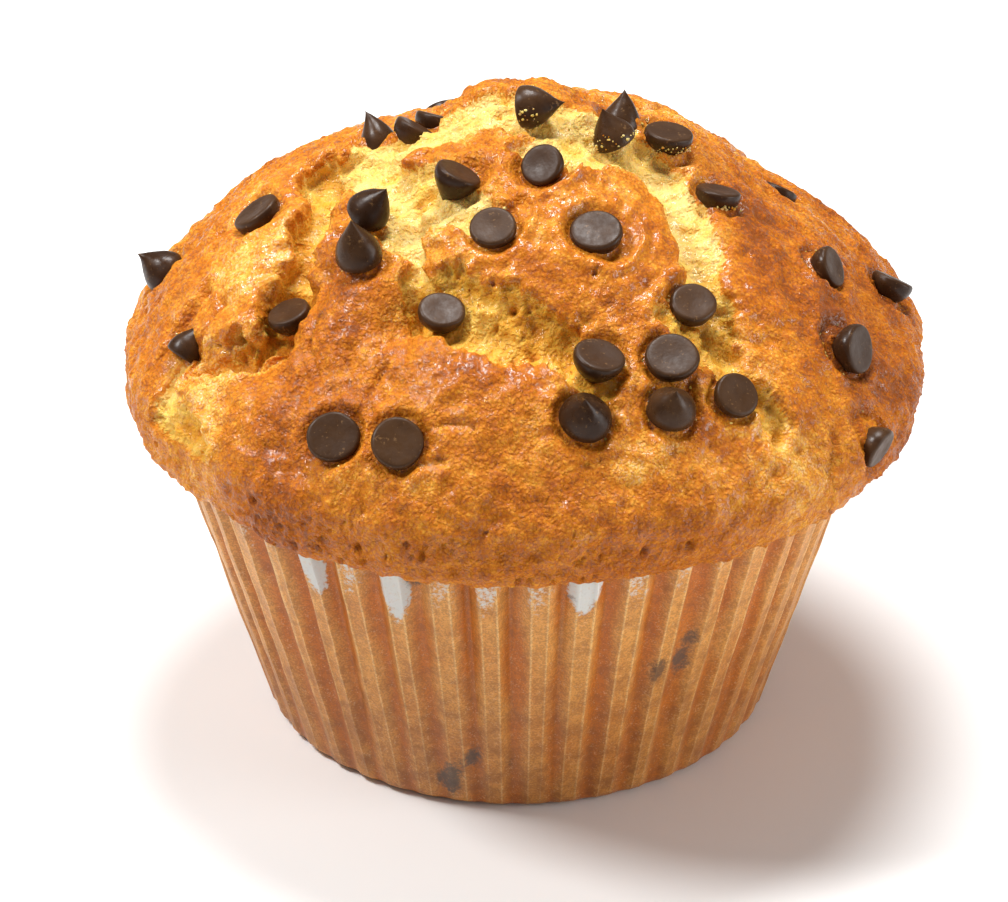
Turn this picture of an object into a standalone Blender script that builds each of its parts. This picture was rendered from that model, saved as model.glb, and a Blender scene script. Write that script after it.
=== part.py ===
"""A large bakery muffin studded with chocolate chips, in its pleated paper case.

The muffin stands on the flat base of its case. The origin is the middle of that base, +Z is
up and the front faces -Y. Lengths are in millimetres and angles in degrees; add_solid()
turns the finished points into metres. A bearing is measured from the front, with the
right-hand side positive.
"""

import math

import bpy
import numpy as np
from mathutils import Matrix, Vector

MM = 0.001
GAP = 0.35  # clearance between pieces that touch

# Paper case: a fluted cup with a flat base
CASE_BASE_RADIUS = 28.5
CASE_RIM_RADIUS = 39.7
CASE_HEIGHT = 38.0
CASE_WALL = 0.3
CASE_EDGE = 0.9  # rounded step between base and side
FLUTES = 45
FIRST_RIDGE = 3.5
RIDGE_SHARE = 0.6  # part of each flute's pitch that its ridge takes
FLUTE_AT_RIM = 1.6  # depth of the valleys
FLUTE_AT_BASE = 0.9

# Crown: the domed top that spreads over the rim of the case
CROWN_RADIUS = 43.9
CROWN_WAIST = 44.2  # height of the widest ring
CROWN_TOP = 73.0
CROWN_SHIFT = 0.5  # the crown leans a little to the right
CROWN_HEART = 30.0  # relief swells away from this height on the axis
ROUNDNESS = 1.37
STEEPNESS = 1.62
WAVES = ((1, 95.0, 0.012), (2, 160.0, 0.010), (3, 180.0, 0.008), (5, -115.0, 0.006))
CROWN_RISES = (0.0, 9.0, 18.0, 26.0, 34.0, 42.0, 50.0, 58.0)
CAP_RISES = (65.0, 72.0, 80.0)

# Lip: the crown's lower edge, which rolls in under itself just outside the rim
LIP_RADIUS = 41.2
LIP_HEIGHT = 37.3
LIP_ROLL = (0.0, 32.0, 62.0)
NECK_HEIGHT = 38.4

# Swellings of the crown: x, y, half length, half width, turn, height
SWELLS = (
    (1.0, 6.0, 8.5, 9.0, 0.0, 0.8),  # crest
    (-3.5, 9.0, 3.0, 10.0, 0.0, 0.7),
    (8.5, 10.0, 3.5, 10.0, 0.0, -1.2),
    (-11.5, 16.0, 7.0, 13.0, 0.0, -2.8),  # hollow behind the crest, on the left
    (3.0, -15.5, 13.0, 8.0, -5.0, 1.1),  # raised plate of crust
    (-25.0, 6.0, 9.0, 18.0, 20.0, 1.2),  # left shoulder
    (24.0, 7.0, 8.0, 15.0, -20.0, -1.2),  # right shoulder
    (20.0, 9.0, 6.0, 9.0, 0.0, 1.4),
    (13.0, 3.0, 6.0, 6.0, 0.0, 0.8),
    (-31.0, -7.0, 7.0, 9.0, 25.0, 0.9),  # left lobe
    (-18.0, -16.0, 4.5, 6.5, 10.0, 1.1),  # lobe between the two tears
    (-8.0, -34.0, 12.0, 4.5, 12.0, 0.9),  # front lobe
    (27.0, -18.0, 9.0, 10.0, -30.0, 0.7),
    (-14.0, 26.0, 10.0, 8.0, -30.0, 0.9),  # back lobes
    (16.0, 25.0, 10.0, 8.0, 30.0, 0.8),
)

# Tears in the crust: half width, depth, and the points they run through
TEARS = (
    (2.4, 3.0, ((-21.0, 1.0), (-22.0, -8.0), (-24.0, -12.0), (-27.0, -21.0))),
    (1.8, 1.4, ((-27.0, -21.0), (-33.0, -18.0), (-37.0, -15.0))),
    (2.6, 2.0, ((-17.0, 0.0), (-13.0, -9.0), (-11.5, -19.0), (-12.0, -24.0))),
    (2.4, 1.8, ((-12.0, -24.0), (-5.0, -27.0), (0.0, -29.0), (6.0, -28.0))),
    (2.6, 1.8, ((15.0, -3.0), (18.0, -12.0), (20.0, -18.0), (22.0, -25.0))),
    (2.8, 0.9, ((-8.0, -2.0), (0.0, -4.5), (8.0, -4.5), (15.0, -3.0))),
    (2.4, 1.2, ((-17.0, 12.0), (-9.0, 18.0), (-3.0, 26.0), (1.0, 35.0))),
    (2.4, 1.7, ((8.0, 12.0), (19.0, 15.0), (26.0, 21.0), (31.0, 25.0))),
)

# Chocolate chips: x, y, bearing and rise of the end that shows, which end it is, width,
# height, and how far the middle of the flat face stands above the crust
CHIPS = (
    (-36.7, -13.3, 124, 48, "tip", 4.2, 4.4, 0.0),
    (-28.5, -2.2, -97, 55, "flat", 5.8, 4.4, 0.8),
    (-39.4, 5.2, -107, 36, "tip", 5.4, 4.6, -0.7),
    (-16.8, -12.0, 61, 55, "tip", 5.0, 5.0, 0.6),
    (-17.0, -17.4, -46, 78, "tip", 5.2, 5.8, -0.4),
    (-24.5, -16.0, -85, 70, "flat", 5.2, 4.0, 1.2),
    (-6.9, -11.1, 103, 64, "flat", 5.4, 4.4, 1.6),
    (2.8, -9.9, -32, 41, "flat", 4.9, 4.2, 0.9),
    (-2.6, -17.8, -14, 60, "flat", 5.2, 4.2, 1.0),
    (8.4, -17.5, -12, 67, "flat", 5.8, 4.5, 0.7),
    (-8.2, -23.6, 23, 68, "flat", 5.2, 4.2, 1.3),
    (-0.3, -0.8, 75, 12, "tip", 5.0, 5.2, 0.7),
    (10.6, -1.6, -102, 65, "tip", 4.9, 4.5, -0.6),
    (11.5, 3.5, 144, 75, "tip", 5.0, 5.0, -2.0),
    (16.5, 1.6, 107, 80, "flat", 5.6, 4.3, 1.3),
    (21.8, -4.7, 142, 72, "flat", 5.2, 4.2, 1.2),
    (29.4, 9.4, 141, 50, "flat", 4.6, 4.2, 0.3),
    (33.4, -6.7, 73, 26, "flat", 5.0, 4.2, 1.6),
    (35.5, -17.1, 64, 17, "flat", 5.9, 4.6, 2.0),
    (41.4, 1.6, 132, 56, "flat", 5.0, 4.2, 1.6),
    (38.9, -24.4, 56, -18, "flat", 4.9, 4.2, 0.6),
    (18.6, -21.3, 25, 62, "flat", 5.3, 4.4, 1.3),
    (16.3, -28.3, 9, 62, "flat", 6.0, 4.4, 1.5),
    (8.3, -30.0, 56, 74, "flat", 5.8, 4.4, 1.8),
    (16.2, -32.5, 16, 60, "tip", 5.5, 4.3, -0.5),
    (23.0, -29.3, 38, 43, "flat", 5.2, 4.0, 1.0),
    (7.1, -34.7, 3, 57, "tip", 5.9, 4.4, -0.5),
    (-19.5, -33.5, -8, 45, "flat", 5.9, 4.3, 0.9),
    (-12.7, -36.3, 4, 45, "flat", 5.9, 4.3, 0.7),
    (-11.2, 5.0, 120, 55, "flat", 5.0, 4.2, 0.4),
    (-8.9, 9.5, 150, 60, "flat", 5.2, 4.2, 0.4),
    (-15.5, 6.2, -138, 59, "tip", 4.3, 4.5, -1.2),
    (-33.5, 22.5, -118, 34, "flat", 5.3, 4.3, 0.4),
    (-20.0, 33.0, -148, 40, "flat", 5.2, 4.4, 0.5),
    (-8.0, 30.0, -165, 42, "flat", 5.6, 4.4, 0.4),
    (4.0, 29.5, 172, 48, "flat", 5.4, 4.3, 0.4),
    (15.0, 27.5, 147, 46, "flat", 5.3, 4.3, 0.4),
    (23.0, 33.0, 146, 34, "flat", 5.5, 4.4, 0.6),
    (34.0, 25.5, 122, 30, "flat", 5.0, 4.2, 0.4),
    (-8.0, 37.5, -168, 33, "flat", 5.4, 4.3, 0.7),
    (8.0, 38.5, 169, 28, "tip", 5.0, 4.4, -1.6),
    (-30.5, 31.0, -135, 12, "tip", 5.2, 4.4, -1.8),
)
CHIP_SIDES = 8

CRUST = ((0.60, 0.23, 0.035), 0.55)  # colour and roughness
PAPER = ((0.42, 0.20, 0.075), 0.7)
CHOCOLATE = ((0.055, 0.027, 0.014), 0.35)


def make_material(name, finish):
    """Return a Principled material with the finish's base colour and roughness."""
    colour, roughness = finish
    material = bpy.data.materials.new(name)
    material.use_nodes = True
    shader = material.node_tree.nodes["Principled BSDF"]
    shader.inputs["Base Color"].default_value = (*colour, 1.0)
    shader.inputs["Roughness"].default_value = roughness
    shader.inputs["Metallic"].default_value = 0.0
    return material


def add_solid(name, points, faces, material):
    """Make an object from points in millimetres, smooth except at sharp edges."""
    mesh = bpy.data.meshes.new(name)
    mesh.from_pydata([tuple(point) for point in np.asarray(points) * MM], [], faces)
    mesh.materials.append(material)
    mesh.shade_smooth()
    mesh.set_sharp_from_angle(angle=math.radians(40.0))
    solid = bpy.data.objects.new(name, mesh)
    bpy.context.scene.collection.objects.link(solid)
    return solid


def turned(bearings, radii, height):
    """Return a ring of points, at one radius or one for each bearing."""
    angles = np.radians(bearings)
    rows = (radii * np.sin(angles), -radii * np.cos(angles), height + 0.0 * angles)
    return np.stack(rows, axis=-1)


def band(lower, upper, count):
    """Join two rings of equal count, given by the index of their first points."""
    ring = [(index, (index + 1) % count) for index in range(count)]
    return [(lower + a, lower + b, upper + b, upper + a) for a, b in ring]


def halving_band(lower, upper, count):
    """Join a ring of count points to one above it that has half as many."""
    faces = []
    for index in range(count // 2):
        first = lower + 2 * index
        middle = first + 1
        last = lower + (2 * index + 2) % count
        here = upper + index
        there = upper + (index + 1) % (count // 2)
        faces += [(first, middle, here), (middle, last, there), (middle, there, here)]
    return faces


def fan(ring, count, centre):
    """Close a ring with triangles to a centre point above it."""
    return [(ring + index, ring + (index + 1) % count, centre) for index in range(count)]


def flute_depth(height):
    """Return how deep the valleys between the ridges are at a height."""
    share = height / CASE_HEIGHT
    return FLUTE_AT_BASE + (FLUTE_AT_RIM - FLUTE_AT_BASE) * share


def case_radius(height):
    """Return the radius of the case's ridges at a height."""
    return CASE_BASE_RADIUS + (CASE_RIM_RADIUS - CASE_BASE_RADIUS) * height / CASE_HEIGHT


def case_ring(height, inset):
    """Return one ring of the case: two points on each ridge and one in each valley."""
    pitch = 360.0 / FLUTES
    offsets = np.array([-RIDGE_SHARE / 2, RIDGE_SHARE / 2, 0.5]) * pitch
    ridges = FIRST_RIDGE + pitch * np.arange(FLUTES)
    bearings = (ridges[:, None] + offsets[None, :]).ravel()
    valley = np.tile([0.0, 0.0, 1.0], FLUTES)
    radii = case_radius(height) - inset - flute_depth(height) * valley
    return turned(bearings, radii, height)


def build_case():
    """Build the fluted paper cup as one thin closed wall with a flat base."""
    count = 3 * FLUTES
    floor = CASE_WALL
    rings = [
        case_ring(0.0, CASE_EDGE),
        case_ring(CASE_EDGE, 0.0),
        case_ring(CASE_HEIGHT, 0.0),
        case_ring(CASE_HEIGHT, CASE_WALL),
        case_ring(CASE_EDGE + floor, CASE_WALL),
        case_ring(floor, CASE_EDGE + CASE_WALL),
    ]
    centres = np.array([[0.0, 0.0, 0.0], [0.0, 0.0, floor]])
    faces = []
    for index in range(len(rings) - 1):
        faces += band(index * count, (index + 1) * count, count)
    under = len(rings) * count
    faces += [tuple(reversed(face)) for face in fan(0, count, under)]
    faces += fan((len(rings) - 1) * count, count, under + 1)
    points = np.concatenate(rings + [centres])
    return add_solid("paper_case", points, faces, make_material("paper", PAPER))


def relief(x, y):
    """Return how far the crust swells or is torn at a place seen from above."""
    height = np.zeros_like(x)
    for middle_x, middle_y, length, width, turn, rise in SWELLS:
        angle = math.radians(turn)
        along = (x - middle_x) * math.cos(angle) + (y - middle_y) * math.sin(angle)
        across = (y - middle_y) * math.cos(angle) - (x - middle_x) * math.sin(angle)
        height += rise * np.exp(-((along / length) ** 2) - (across / width) ** 2)
    for width, depth, route in TEARS:
        height -= depth * np.exp(-((distance_to(route, x, y) / width) ** 2))
    return height


def distance_to(route, x, y):
    """Return the distance from each place to the nearest point of a route."""
    nearest = np.full_like(x, np.inf)
    for start, end in zip(route[:-1], route[1:]):
        step_x = end[0] - start[0]
        step_y = end[1] - start[1]
        length = math.hypot(step_x, step_y)
        share = ((x - start[0]) * step_x + (y - start[1]) * step_y) / length**2
        share = np.clip(share, 0.0, 1.0)
        gap_x = x - start[0] - share * step_x
        gap_y = y - start[1] - share * step_y
        nearest = np.minimum(nearest, np.hypot(gap_x, gap_y))
    return nearest


def crown_point(bearings, rise):
    """Return the crown's points at a rise of 0 (widest ring) to 90 degrees (top)."""
    angles = np.radians(bearings)
    lift = math.radians(rise)
    waves = sum(size * np.cos(n * angles - math.radians(at)) for n, at, size in WAVES)
    radii = CROWN_RADIUS * math.cos(lift) ** ROUNDNESS * (1.0 + waves)
    height = CROWN_WAIST + (CROWN_TOP - CROWN_WAIST) * math.sin(lift) ** STEEPNESS
    points = turned(bearings, radii, height)
    points[:, 0] += CROWN_SHIFT
    outward = points - np.array([0.0, 0.0, CROWN_HEART])
    outward /= np.linalg.norm(outward, axis=1, keepdims=True)
    return points + outward * relief(points[:, 0], points[:, 1])[:, None]


def lip_point(bearings, roll):
    """Return the lip's points at a roll of 0 (its lowest edge) to 90 degrees (the waist)."""
    waist = crown_point(bearings, 0.0)
    edge = turned(bearings, LIP_RADIUS, LIP_HEIGHT)
    outward = math.sin(math.radians(roll)) ** 0.8
    upward = 1.0 - math.cos(math.radians(roll))
    return edge + (waist - edge) * (outward, outward, upward)


def crown_over(x, y):
    """Return the point of the crown that lies over a place, found by bisection."""
    bearing = math.degrees(math.atan2(x, -y))
    reach = math.hypot(x, y)
    low, high = 0.0, 90.0
    for _ in range(30):
        middle = (low + high) / 2
        point = crown_point(np.array([bearing]), middle)[0]
        if math.hypot(point[0], point[1]) > reach:
            low = middle
        else:
            high = middle
    return Vector((x, y, point[2]))


def cake_rings(bearings):
    """Return the cake's rings from its base up to the cap, bottom to top."""
    zigzag = np.where(np.arange(2 * FLUTES) % 2 == 0, 0.0, 1.0)
    inset = CASE_WALL + GAP + 0.1
    floor = CASE_WALL + GAP
    side = []
    for height in (CASE_EDGE + floor, CASE_HEIGHT - 0.5):
        radii = case_radius(height) - inset - flute_depth(height) * zigzag
        side.append(turned(bearings, radii, height))
    low = case_radius(0.0) - CASE_EDGE - inset - flute_depth(0.0) * zigzag
    neck = case_radius(CASE_HEIGHT) - inset - 0.2 - flute_depth(CASE_HEIGHT) * zigzag
    under = [
        turned(bearings, neck, NECK_HEIGHT),
        turned(bearings, CASE_RIM_RADIUS + 0.8, NECK_HEIGHT + 0.1),
    ]
    lip = [lip_point(bearings, roll) for roll in LIP_ROLL]
    crown = [crown_point(bearings, rise) for rise in CROWN_RISES]
    return [turned(bearings, low, floor)] + side + under + lip + crown


def build_cake():
    """Build the cake: a fluted foot, a lip over the case's rim and a torn, domed crown."""
    count = 2 * FLUTES
    pitch = 360.0 / count
    bearings = FIRST_RIDGE + pitch * np.arange(count)
    rings = cake_rings(bearings)
    cap = [crown_point(bearings[::2], rise) for rise in CAP_RISES]
    faces = []
    for index in range(len(rings) - 1):
        faces += band(index * count, (index + 1) * count, count)
    first = len(rings) * count
    faces += halving_band(first - count, first, count)
    for index in range(len(cap) - 1):
        faces += band(first + index * FLUTES, first + (index + 1) * FLUTES, FLUTES)
    top = first + len(cap) * FLUTES
    faces += fan(top - FLUTES, FLUTES, top)
    faces += [tuple(reversed(face)) for face in fan(0, count, top + 1)]
    ends = np.array([crown_point(bearings[:1], 90.0)[0], [0.0, 0.0, rings[0][0][2]]])
    points = np.concatenate(rings + cap + [ends])
    return add_solid("cake", points, faces, make_material("crust", CRUST))


def drop_shape(width, height, swell):
    """Return a chip's points and faces: flat face down, a round edge, a drawn-out tip."""
    half = width / 2 + swell
    profile = (
        (0.84 * half, -swell),
        (half, 0.16 * height),
        (0.80 * half, 0.42 * height),
        (0.34 * half, 0.78 * height + swell),
    )
    sides = CHIP_SIDES
    bearings = 360.0 / sides * np.arange(sides)
    rings = [turned(bearings, radius, level) for radius, level in profile]
    ends = np.array([[0.0, 0.0, -swell], [0.0, 0.0, height + swell]])
    points = np.concatenate(rings + [ends])
    under = len(rings) * sides
    faces = []
    for index in range(len(rings) - 1):
        faces += band(index * sides, (index + 1) * sides, sides)
    faces += [tuple(reversed(face)) for face in fan(0, sides, under)]
    faces += fan(under - sides, sides, under + 1)
    return points, faces


def chip_place(chip):
    """Return the matrix, in millimetres, that sets a chip into the crust."""
    x, y, bearing, rise, end, _, _, lift = chip
    turn = math.radians(bearing)
    up = math.radians(rise)
    outward = Vector((math.sin(turn) * math.cos(up), -math.cos(turn) * math.cos(up), math.sin(up)))
    tip = outward if end == "tip" else -outward
    face = crown_over(x, y) + outward * lift
    return Matrix.Translation(face) @ tip.to_track_quat("Z", "Y").to_matrix().to_4x4()


def placed(points, place):
    """Return the points moved by a matrix."""
    matrix = np.array(place)
    return points @ matrix[:3, :3].T + matrix[:3, 3]


def build_chips():
    """Build every chip, and return the cutters of the pockets that they sit in."""
    material = make_material("chocolate", CHOCOLATE)
    pockets = bpy.data.collections.new("pockets")
    bpy.context.scene.collection.children.link(pockets)
    for number, chip in enumerate(CHIPS, start=1):
        width, height = chip[5], chip[6]
        place = chip_place(chip)
        points, faces = drop_shape(width, height, 0.0)
        add_solid(f"chip_{number:02d}", placed(points, place), faces, material)
        points, faces = drop_shape(width, height, GAP)
        cutter = add_solid(f"pocket_{number:02d}", placed(points, place), faces, material)
        bpy.context.scene.collection.objects.unlink(cutter)
        pockets.objects.link(cutter)
        cutter.hide_render = True
        cutter.display_type = "WIRE"
    return pockets


def cut_pockets(cake, pockets):
    """Cut the chips' pockets into the cake."""
    cut = cake.modifiers.new("pockets", "BOOLEAN")
    cut.operation = "DIFFERENCE"
    cut.solver = "EXACT"
    cut.operand_type = "COLLECTION"
    cut.collection = pockets


def main():
    for item in list(bpy.data.objects):
        bpy.data.objects.remove(item, do_unlink=True)
    build_case()
    cut_pockets(build_cake(), build_chips())


main()
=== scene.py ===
import itertools
import math

import bpy
import numpy as np
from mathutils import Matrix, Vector


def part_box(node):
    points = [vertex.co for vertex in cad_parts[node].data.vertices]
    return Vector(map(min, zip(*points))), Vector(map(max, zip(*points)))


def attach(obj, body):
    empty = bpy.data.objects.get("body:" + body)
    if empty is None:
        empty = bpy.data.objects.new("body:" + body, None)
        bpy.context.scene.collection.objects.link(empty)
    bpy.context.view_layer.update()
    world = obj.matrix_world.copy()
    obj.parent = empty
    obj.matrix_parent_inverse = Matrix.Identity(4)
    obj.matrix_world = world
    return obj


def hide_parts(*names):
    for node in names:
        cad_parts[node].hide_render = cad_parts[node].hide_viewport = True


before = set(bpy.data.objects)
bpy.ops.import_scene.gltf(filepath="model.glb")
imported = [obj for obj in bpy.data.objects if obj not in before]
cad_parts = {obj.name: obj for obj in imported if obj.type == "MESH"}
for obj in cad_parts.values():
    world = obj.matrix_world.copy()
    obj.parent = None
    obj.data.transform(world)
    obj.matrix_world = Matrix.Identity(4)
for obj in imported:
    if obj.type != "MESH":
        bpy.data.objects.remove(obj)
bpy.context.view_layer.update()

# Lengths are in millimetres unless a name says otherwise; the finished points are turned into metres.
# Bearings are degrees from the front, positive to the right.
mm = 0.001
root = "root"
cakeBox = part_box("cake")
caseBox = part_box("paper_case")
caseHeight = caseBox[1][2] / mm
caseRim = (caseBox[1][0] - caseBox[0][0]) / 2 / mm
chipNodes = sorted(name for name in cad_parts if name.startswith("chip_"))


noiseTable = dict(seed=20, size=256)
noiseRandom = np.random.default_rng(noiseTable["seed"])
noiseOrder = noiseRandom.permutation(noiseTable["size"])
noiseSlopes = noiseRandom.normal(size=(noiseTable["size"], 3))
noiseSlopes /= np.linalg.norm(noiseSlopes, axis=1, keepdims=True)


# Smooth noise from about -1 to 1: a random slope at every whole-number corner,
# blended by 6t^5 - 15t^4 + 10t^3.
def noiseAt(points, size, seed=0):
    place = points / size + seed * 17.37 + 5.0
    cell = np.floor(place).astype(int)
    inside = place - cell
    ease = inside**3 * (inside * (inside * 6 - 15) + 10)
    total = np.zeros(place.shape[:-1])
    last = noiseTable["size"] - 1
    for corner in itertools.product((0, 1), repeat=3):
        pick = noiseOrder[(cell[..., 0] + corner[0]) & last]
        pick = noiseOrder[(pick + cell[..., 1] + corner[1]) & last]
        pick = noiseOrder[(pick + cell[..., 2] + corner[2]) & last]
        slope = (noiseSlopes[pick] * (inside - corner)).sum(-1)
        share = np.prod(np.where(corner, ease, 1 - ease), axis=-1)
        total += slope * share
    return total * 1.7


# Noise with finer noise added at half the size and half the height, octave by octave.
def layeredNoise(points, size, layers=3, seed=0):
    total = 0.0
    for layer in range(layers):
        total = total + noiseAt(points, size / 2**layer, seed + layer) / 2**layer
    return total


# Rounded lumps with sharp valleys between them: one minus the size of the noise.
def lumps(points, size, seed=0):
    return 1 - 2 * np.abs(noiseAt(points, size, seed))


# Distance to the nearest of one random dot in each cube of the given size, in those cubes' units.
def dotDistance(points, size, seed=0):
    place = points / size + seed * 9.7 + 3.0
    cell = np.floor(place).astype(int)
    nearest = np.full(place.shape[:-1], 9.0)
    last = noiseTable["size"] - 1
    for step in itertools.product((-1, 0, 1), repeat=3):
        near = cell + step
        pick = noiseOrder[near[..., 0] & last]
        pick = noiseOrder[(pick + near[..., 1]) & last]
        pick = noiseOrder[(pick + near[..., 2]) & last]
        dot = near + 0.5 + 0.27 * noiseSlopes[pick]
        nearest = np.minimum(nearest, np.linalg.norm(place - dot, axis=-1))
    return nearest


# 0 below low, 1 above high, and 3t^2 - 2t^3 between them.
def smoothStep(low, high, value):
    share = np.clip((value - low) / (high - low), 0, 1)
    return share * share * (3 - 2 * share)


# A hump that falls away as exp(-(u^2 + v^2)) along its turned half length and half width.
def hump(x, y, middleX, middleY, length, width, turn=0.0):
    c, s = math.cos(math.radians(turn)), math.sin(math.radians(turn))
    along = ((x - middleX) * c + (y - middleY) * s) / length
    across = ((y - middleY) * c - (x - middleX) * s) / width
    return np.exp(-(along**2) - across**2)


# Distance to a route of (x, y, half width) points, less the half width there: below 0 is inside the stroke.
def strokeDistance(route, x, y):
    nearest = np.full_like(x, 99.0)
    for start, end in zip(route[:-1], route[1:]):
        stepX, stepY = end[0] - start[0], end[1] - start[1]
        share = ((x - start[0]) * stepX + (y - start[1]) * stepY) / (stepX**2 + stepY**2)
        share = np.clip(share, 0, 1)
        gap = np.hypot(x - start[0] - share * stepX, y - start[1] - share * stepY)
        nearest = np.minimum(nearest, gap - start[2] - share * (end[2] - start[2]))
    return nearest


def addPiece(name, points, faces, material, replaced):
    mesh = bpy.data.meshes.new(name)
    sizes = [len(group) for group in faces]
    loops = np.concatenate([group.ravel() for group in faces]).astype(np.int32)
    counts = np.concatenate([np.full(size, group.shape[1]) for size, group in zip(sizes, faces)])
    mesh.vertices.add(len(points))
    mesh.vertices.foreach_set("co", (points * mm).astype(np.float32).ravel())
    mesh.loops.add(len(loops))
    mesh.loops.foreach_set("vertex_index", loops)
    mesh.polygons.add(len(counts))
    mesh.polygons.foreach_set("loop_start", np.concatenate([[0], np.cumsum(counts)[:-1]]).astype(np.int32))
    mesh.update(calc_edges=True)
    mesh.validate()
    mesh.shade_smooth()
    mesh.materials.append(material)
    piece = bpy.data.objects.new(name, mesh)
    bpy.context.scene.collection.objects.link(piece)
    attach(piece, root)
    if replaced:
        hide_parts(*replaced)
    print(f"{name}: {len(points)} points, {int((counts - 2).sum())} triangles")
    return piece


# Four numbers for every point, which the material reads by name.
def paintPoints(piece, name, red, green, blue, fourth):
    layer = piece.data.attributes.new(name, "FLOAT_COLOR", "POINT")
    values = np.stack([red, green, blue, fourth], -1)
    layer.data.foreach_set("color", np.clip(values, 0, 1).astype(np.float32).ravel())


class NodeBook:
    # A short way to place nodes and join them up.
    def __init__(self, tree):
        self.tree = tree

    def add(self, kind, values=None, **settings):
        node = self.tree.nodes.new(kind)
        for key, value in settings.items():
            setattr(node, key, value)
        for key, value in (values or {}).items():
            self.feed(node.inputs[key], value)
        return node

    def feed(self, socket, value):
        if isinstance(value, bpy.types.NodeSocket):
            self.tree.links.new(value, socket)
        elif isinstance(value, tuple) and len(value) == 3 and socket.type == "RGBA":
            socket.default_value = (*value, 1.0)
        else:
            socket.default_value = value

    def math(self, operation, first, second=0.0, clamp=False):
        values = {0: first, 1: second}
        return self.add("ShaderNodeMath", values, operation=operation, use_clamp=clamp).outputs[0]

    def vector(self, operation, first, second):
        return self.add("ShaderNodeVectorMath", {0: first, 1: second}, operation=operation).outputs[0]

    def blend(self, factor, first, second):
        node = self.add("ShaderNodeMix", data_type="RGBA")
        self.feed(node.inputs[0], factor)
        self.feed(node.inputs[6], first)
        self.feed(node.inputs[7], second)
        return node.outputs[2]

    def between(self, value, low, high, outLow=0.0, outHigh=1.0):
        node = self.add("ShaderNodeMapRange", {0: value, 1: low, 2: high, 3: outLow, 4: outHigh})
        node.interpolation_type = "SMOOTHSTEP"
        return node.outputs[0]

    def ramp(self, value, stops):
        node = self.add("ShaderNodeValToRGB", {0: value})
        marks = node.color_ramp.elements
        while len(marks) < len(stops):
            marks.new(0.5)
        for mark, (place, colour) in zip(marks, stops):
            mark.position = place
            mark.color = (*colour, 1.0)
        return node.outputs[0]

    def noise(self, where, size, detail=3.0, roughness=0.55):
        sizes = {"Vector": where, "Scale": 1 / (size * mm), "Detail": detail, "Roughness": roughness}
        return self.add("ShaderNodeTexNoise", sizes).outputs[0]

    def bump(self, height, strength, distance, normal=None):
        values = {"Height": height, "Strength": strength, "Distance": distance * mm}
        if normal is not None:
            values["Normal"] = normal
        return self.add("ShaderNodeBump", values).outputs[0]


def startMaterial(name):
    material = bpy.data.materials.new(name)
    material.use_nodes = True
    book = NodeBook(material.node_tree)
    shader = material.node_tree.nodes["Principled BSDF"]
    where = book.add("ShaderNodeTexCoord").outputs["Object"]
    return material, book, shader, where


# sRGB values from 0 to 255, as a paint chart gives them, turned into linear light.
def paint(red, green, blue):
    share = np.array([red, green, blue]) / 255
    return tuple(float(v) for v in np.where(share < 0.04045, share / 12.92, ((share + 0.055) / 1.055) ** 2.4))


# A group of fine speckles: fibres, scorched grains and dust all use it, each at its own size.
def makeSpeckle():
    group = bpy.data.node_groups.new("speckle", "ShaderNodeTree")
    sockets = {"Where": "NodeSocketVector", "Scale": "NodeSocketFloat", "Cover": "NodeSocketFloat"}
    for name, kind in sockets.items():
        group.interface.new_socket(name, in_out="INPUT", socket_type=kind)
    group.interface.new_socket("Mask", in_out="OUTPUT", socket_type="NodeSocketFloat")
    book = NodeBook(group)
    inputs = book.add("NodeGroupInput").outputs
    where = inputs["Where"]
    fine = book.add("ShaderNodeTexNoise", {"Vector": where, "Scale": inputs["Scale"], "Detail": 2.0})
    wide = book.math("MULTIPLY", inputs["Scale"], 0.23)
    patch = book.add("ShaderNodeTexNoise", {"Vector": where, "Scale": wide, "Detail": 2.0})
    both = book.math("ADD", book.math("MULTIPLY", patch.outputs[0], 0.5), fine.outputs[0])
    edge = book.math("SUBTRACT", 0.97, book.math("MULTIPLY", inputs["Cover"], 0.45))
    mask = book.math("MULTIPLY", book.math("SUBTRACT", both, edge), 9.0, clamp=True)
    book.add("NodeGroupOutput", {"Mask": mask})
    return group


speckleGroup = makeSpeckle()


def speckle(book, where, size, cover):
    node = book.add("ShaderNodeGroup", node_tree=speckleGroup)
    book.feed(node.inputs["Where"], where)
    node.inputs["Scale"].default_value = 1 / (size * mm)
    node.inputs["Cover"].default_value = cover
    return node.outputs["Mask"]


# The flat face is the largest flat area; the tip is the farthest point above it.
def readChip(name):
    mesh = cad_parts[name].data
    points = np.empty(len(mesh.vertices) * 3)
    mesh.vertices.foreach_get("co", points)
    points = points.reshape(-1, 3) / mm
    mesh.calc_loop_triangles()
    corners = np.empty(len(mesh.loop_triangles) * 3, dtype=int)
    mesh.loop_triangles.foreach_get("vertices", corners)
    corners = points[corners.reshape(-1, 3)]
    normals = np.cross(corners[:, 1] - corners[:, 0], corners[:, 2] - corners[:, 0]) / 2
    areas = np.linalg.norm(normals, axis=1)
    facing = normals / areas[:, None]
    together = facing @ facing.T > 0.999
    flat = together[np.argmax(together @ areas)]
    face = (corners[flat].mean(1) * areas[flat, None]).sum(0) / areas[flat].sum()
    axis = -(normals[flat].sum(0))
    axis /= np.linalg.norm(axis)
    away = points - face
    height = (away @ axis).max()
    width = 2 * np.linalg.norm(away - np.outer(away @ axis, axis), axis=1).max()
    return dict(name=name, face=face, axis=axis, height=height, width=width)


chipPlaces = [readChip(name) for name in chipNodes]


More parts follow.
